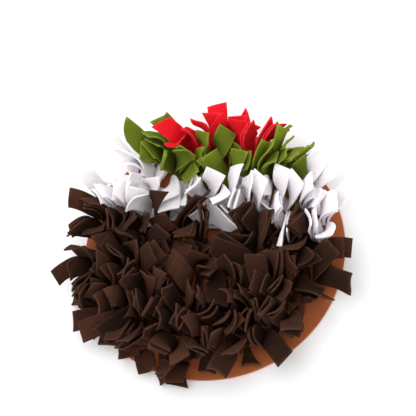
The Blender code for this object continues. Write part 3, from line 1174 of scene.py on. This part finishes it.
class MAT_OT_felt_base(bpy.types.Operator):
    """Cut the round felt base and lay it flat"""

    bl_idname = "snuffle_mat.felt_base"
    bl_label = "Felt Base"

    def execute(self, context):
        cloth = context.scene.mat_cloth
        colours = context.scene.mat_colours
        bpy.ops.object.select_all(action="DESELECT")
        bpy.ops.mesh.primitive_circle_add(
            vertices=RIM_POINTS, radius=BASE_RADIUS, fill_type="NGON",
        )
        piece = context.object
        piece.name = "felt_base"
        bpy.ops.object.mode_set(mode="EDIT")
        bpy.ops.mesh.select_all(action="SELECT")
        for _ in range(FELT_RINGS):
            bpy.ops.mesh.inset(thickness=BASE_RADIUS / (FELT_RINGS + 1))
        bpy.ops.object.mode_set(mode="OBJECT")
        (lobes, start), (more_lobes, more_start) = LIFT_WAVES
        for vertex in piece.data.vertices:
            angle = math.atan2(vertex.co.y, vertex.co.x)
            share = vertex.co.xy.length / BASE_RADIUS
            vertex.co.xy *= base_radius(angle) / BASE_RADIUS
            sway = math.sin(lobes * angle + start) * math.cos(more_lobes * angle + more_start)
            vertex.co.z = cloth.base_lift * (0.5 + 0.5 * sway) * share ** LIFT_POWER
        apply_modifier(piece, "SOLIDIFY", "Thickness", thickness=BASE_THICKNESS, offset=1.0)
        apply_modifier(
            piece, "BEVEL", "Rim", width=cloth.base_rim, segments=3, limit_method="ANGLE",
        )
        bpy.ops.object.shade_smooth_by_angle(angle=math.radians(FELT_EDGE))
        piece.data.materials.append(felt_material("rust_felt", colours.felt, colours.felt_shade))
        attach(piece, "root")
        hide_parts("base_panel")
        return {"FINISHED"}


class MAT_OT_red_tails(bpy.types.Operator):
    """Sew the red tails at the back"""

    bl_idname = "snuffle_mat.red_tails"
    bl_label = "Red Tails"

    def execute(self, context):
        build_tails(context, "red")
        return {"FINISHED"}


class MAT_OT_green_tails(bpy.types.Operator):
    """Sew the green tails"""

    bl_idname = "snuffle_mat.green_tails"
    bl_label = "Green Tails"

    def execute(self, context):
        build_tails(context, "green")
        return {"FINISHED"}


class MAT_OT_white_tails(bpy.types.Operator):
    """Sew the white tails"""

    bl_idname = "snuffle_mat.white_tails"
    bl_label = "White Tails"

    def execute(self, context):
        build_tails(context, "white")
        return {"FINISHED"}


class MAT_OT_brown_tails(bpy.types.Operator):
    """Sew the dark brown tails"""

    bl_idname = "snuffle_mat.brown_tails"
    bl_label = "Brown Tails"

    def execute(self, context):
        build_tails(context, "brown")
        return {"FINISHED"}


class MAT_OT_studio(bpy.types.Operator):
    """Lay the pale floor, and set the soft light and the camera"""

    bl_idname = "snuffle_mat.studio"
    bl_label = "Studio"

    def execute(self, context):
        studio = context.scene.mat_studio
        bpy.ops.object.select_all(action="DESELECT")
        bpy.ops.mesh.primitive_plane_add(size=FLOOR_SIZE)
        floor = context.object
        floor.name = "studio_floor"
        paper = bpy.data.materials.new("pale_paper")
        paper.use_nodes = True
        shader = paper.node_tree.nodes["Principled BSDF"]
        shader.inputs["Base Color"].default_value = FLOOR_COLOUR
        shader.inputs["Roughness"].default_value = 0.9
        floor.data.materials.append(paper)
        bpy.ops.object.light_add(type="AREA", location=LIGHT_PLACE)
        key = context.object
        key.name = "soft_key"
        key.data.size = LIGHT_SIZE
        key.data.energy = studio.key_power
        key.rotation_euler = (-key.location).to_track_quat("-Z", "Y").to_euler()
        world = bpy.data.worlds.new("pale_surround")
        world.use_nodes = True
        sky = world.node_tree.nodes["Background"]
        sky.inputs["Color"].default_value = (1, 1, 1, 1)
        sky.inputs["Strength"].default_value = studio.surround
        context.scene.world = world
        context.scene.view_settings.view_transform = "Standard"
        back = Vector((
            math.cos(studio.elevation) * math.sin(studio.azimuth),
            -math.cos(studio.elevation) * math.cos(studio.azimuth),
            math.sin(studio.elevation),
        ))
        right = Vector((0, 0, 1)).cross(back).normalized()
        up = back.cross(right)
        turned = Quaternion(back, studio.roll)
        bpy.ops.object.camera_add()
        camera = context.object
        camera.name = "photo_camera"
        place = Matrix((turned @ right, turned @ up, back)).transposed().to_4x4()
        place.translation = Vector(CAMERA_AIM) + back * studio.distance
        camera.matrix_world = place
        camera.data.sensor_width = SENSOR_WIDTH
        camera.data.lens = CAMERA_LENS
        context.scene.camera = camera
        return {"FINISHED"}


class MAT_PT_sidebar(bpy.types.Panel):
    """The steps of the mat, in order"""

    bl_idname = "MAT_PT_sidebar"
    bl_label = "Snuffle Mat"
    bl_space_type = "VIEW_3D"
    bl_region_type = "UI"
    bl_category = "Snuffle Mat"

    def draw(self, context):
        column = self.layout.column()
        for step in STEPS:
            column.operator(step.bl_idname)
        for group in ("mat_cloth", "mat_colours", "mat_studio"):
            settings = getattr(context.scene, group)
            for name in settings.bl_rna.properties.keys():
                if name not in ("rna_type", "name"):
                    column.prop(settings, name)


STEPS = (
    MAT_OT_felt_base,
    MAT_OT_red_tails,
    MAT_OT_green_tails,
    MAT_OT_white_tails,
    MAT_OT_brown_tails,
    MAT_OT_studio,
)
GROUPS = {"mat_cloth": MatCloth, "mat_colours": MatColours, "mat_studio": MatStudio}


def register():
    """Add the settings, the steps and the panel."""
    for group in GROUPS.values():
        bpy.utils.register_class(group)
    for name, group in GROUPS.items():
        setattr(bpy.types.Scene, name, bpy.props.PointerProperty(type=group))
    for step in STEPS:
        bpy.utils.register_class(step)
    bpy.utils.register_class(MAT_PT_sidebar)


def unregister():
    """Take away the panel, the steps and the settings."""
    bpy.utils.unregister_class(MAT_PT_sidebar)
    for step in reversed(STEPS):
        bpy.utils.unregister_class(step)
    for name, group in GROUPS.items():
        delattr(bpy.types.Scene, name)
        bpy.utils.unregister_class(group)


def main():
    """Build the mat and its studio."""
    register()
    bpy.ops.snuffle_mat.felt_base()
    bpy.ops.snuffle_mat.red_tails()
    bpy.ops.snuffle_mat.green_tails()
    bpy.ops.snuffle_mat.white_tails()
    bpy.ops.snuffle_mat.brown_tails()
    bpy.ops.snuffle_mat.studio()


if __name__ == "__main__":
    main()
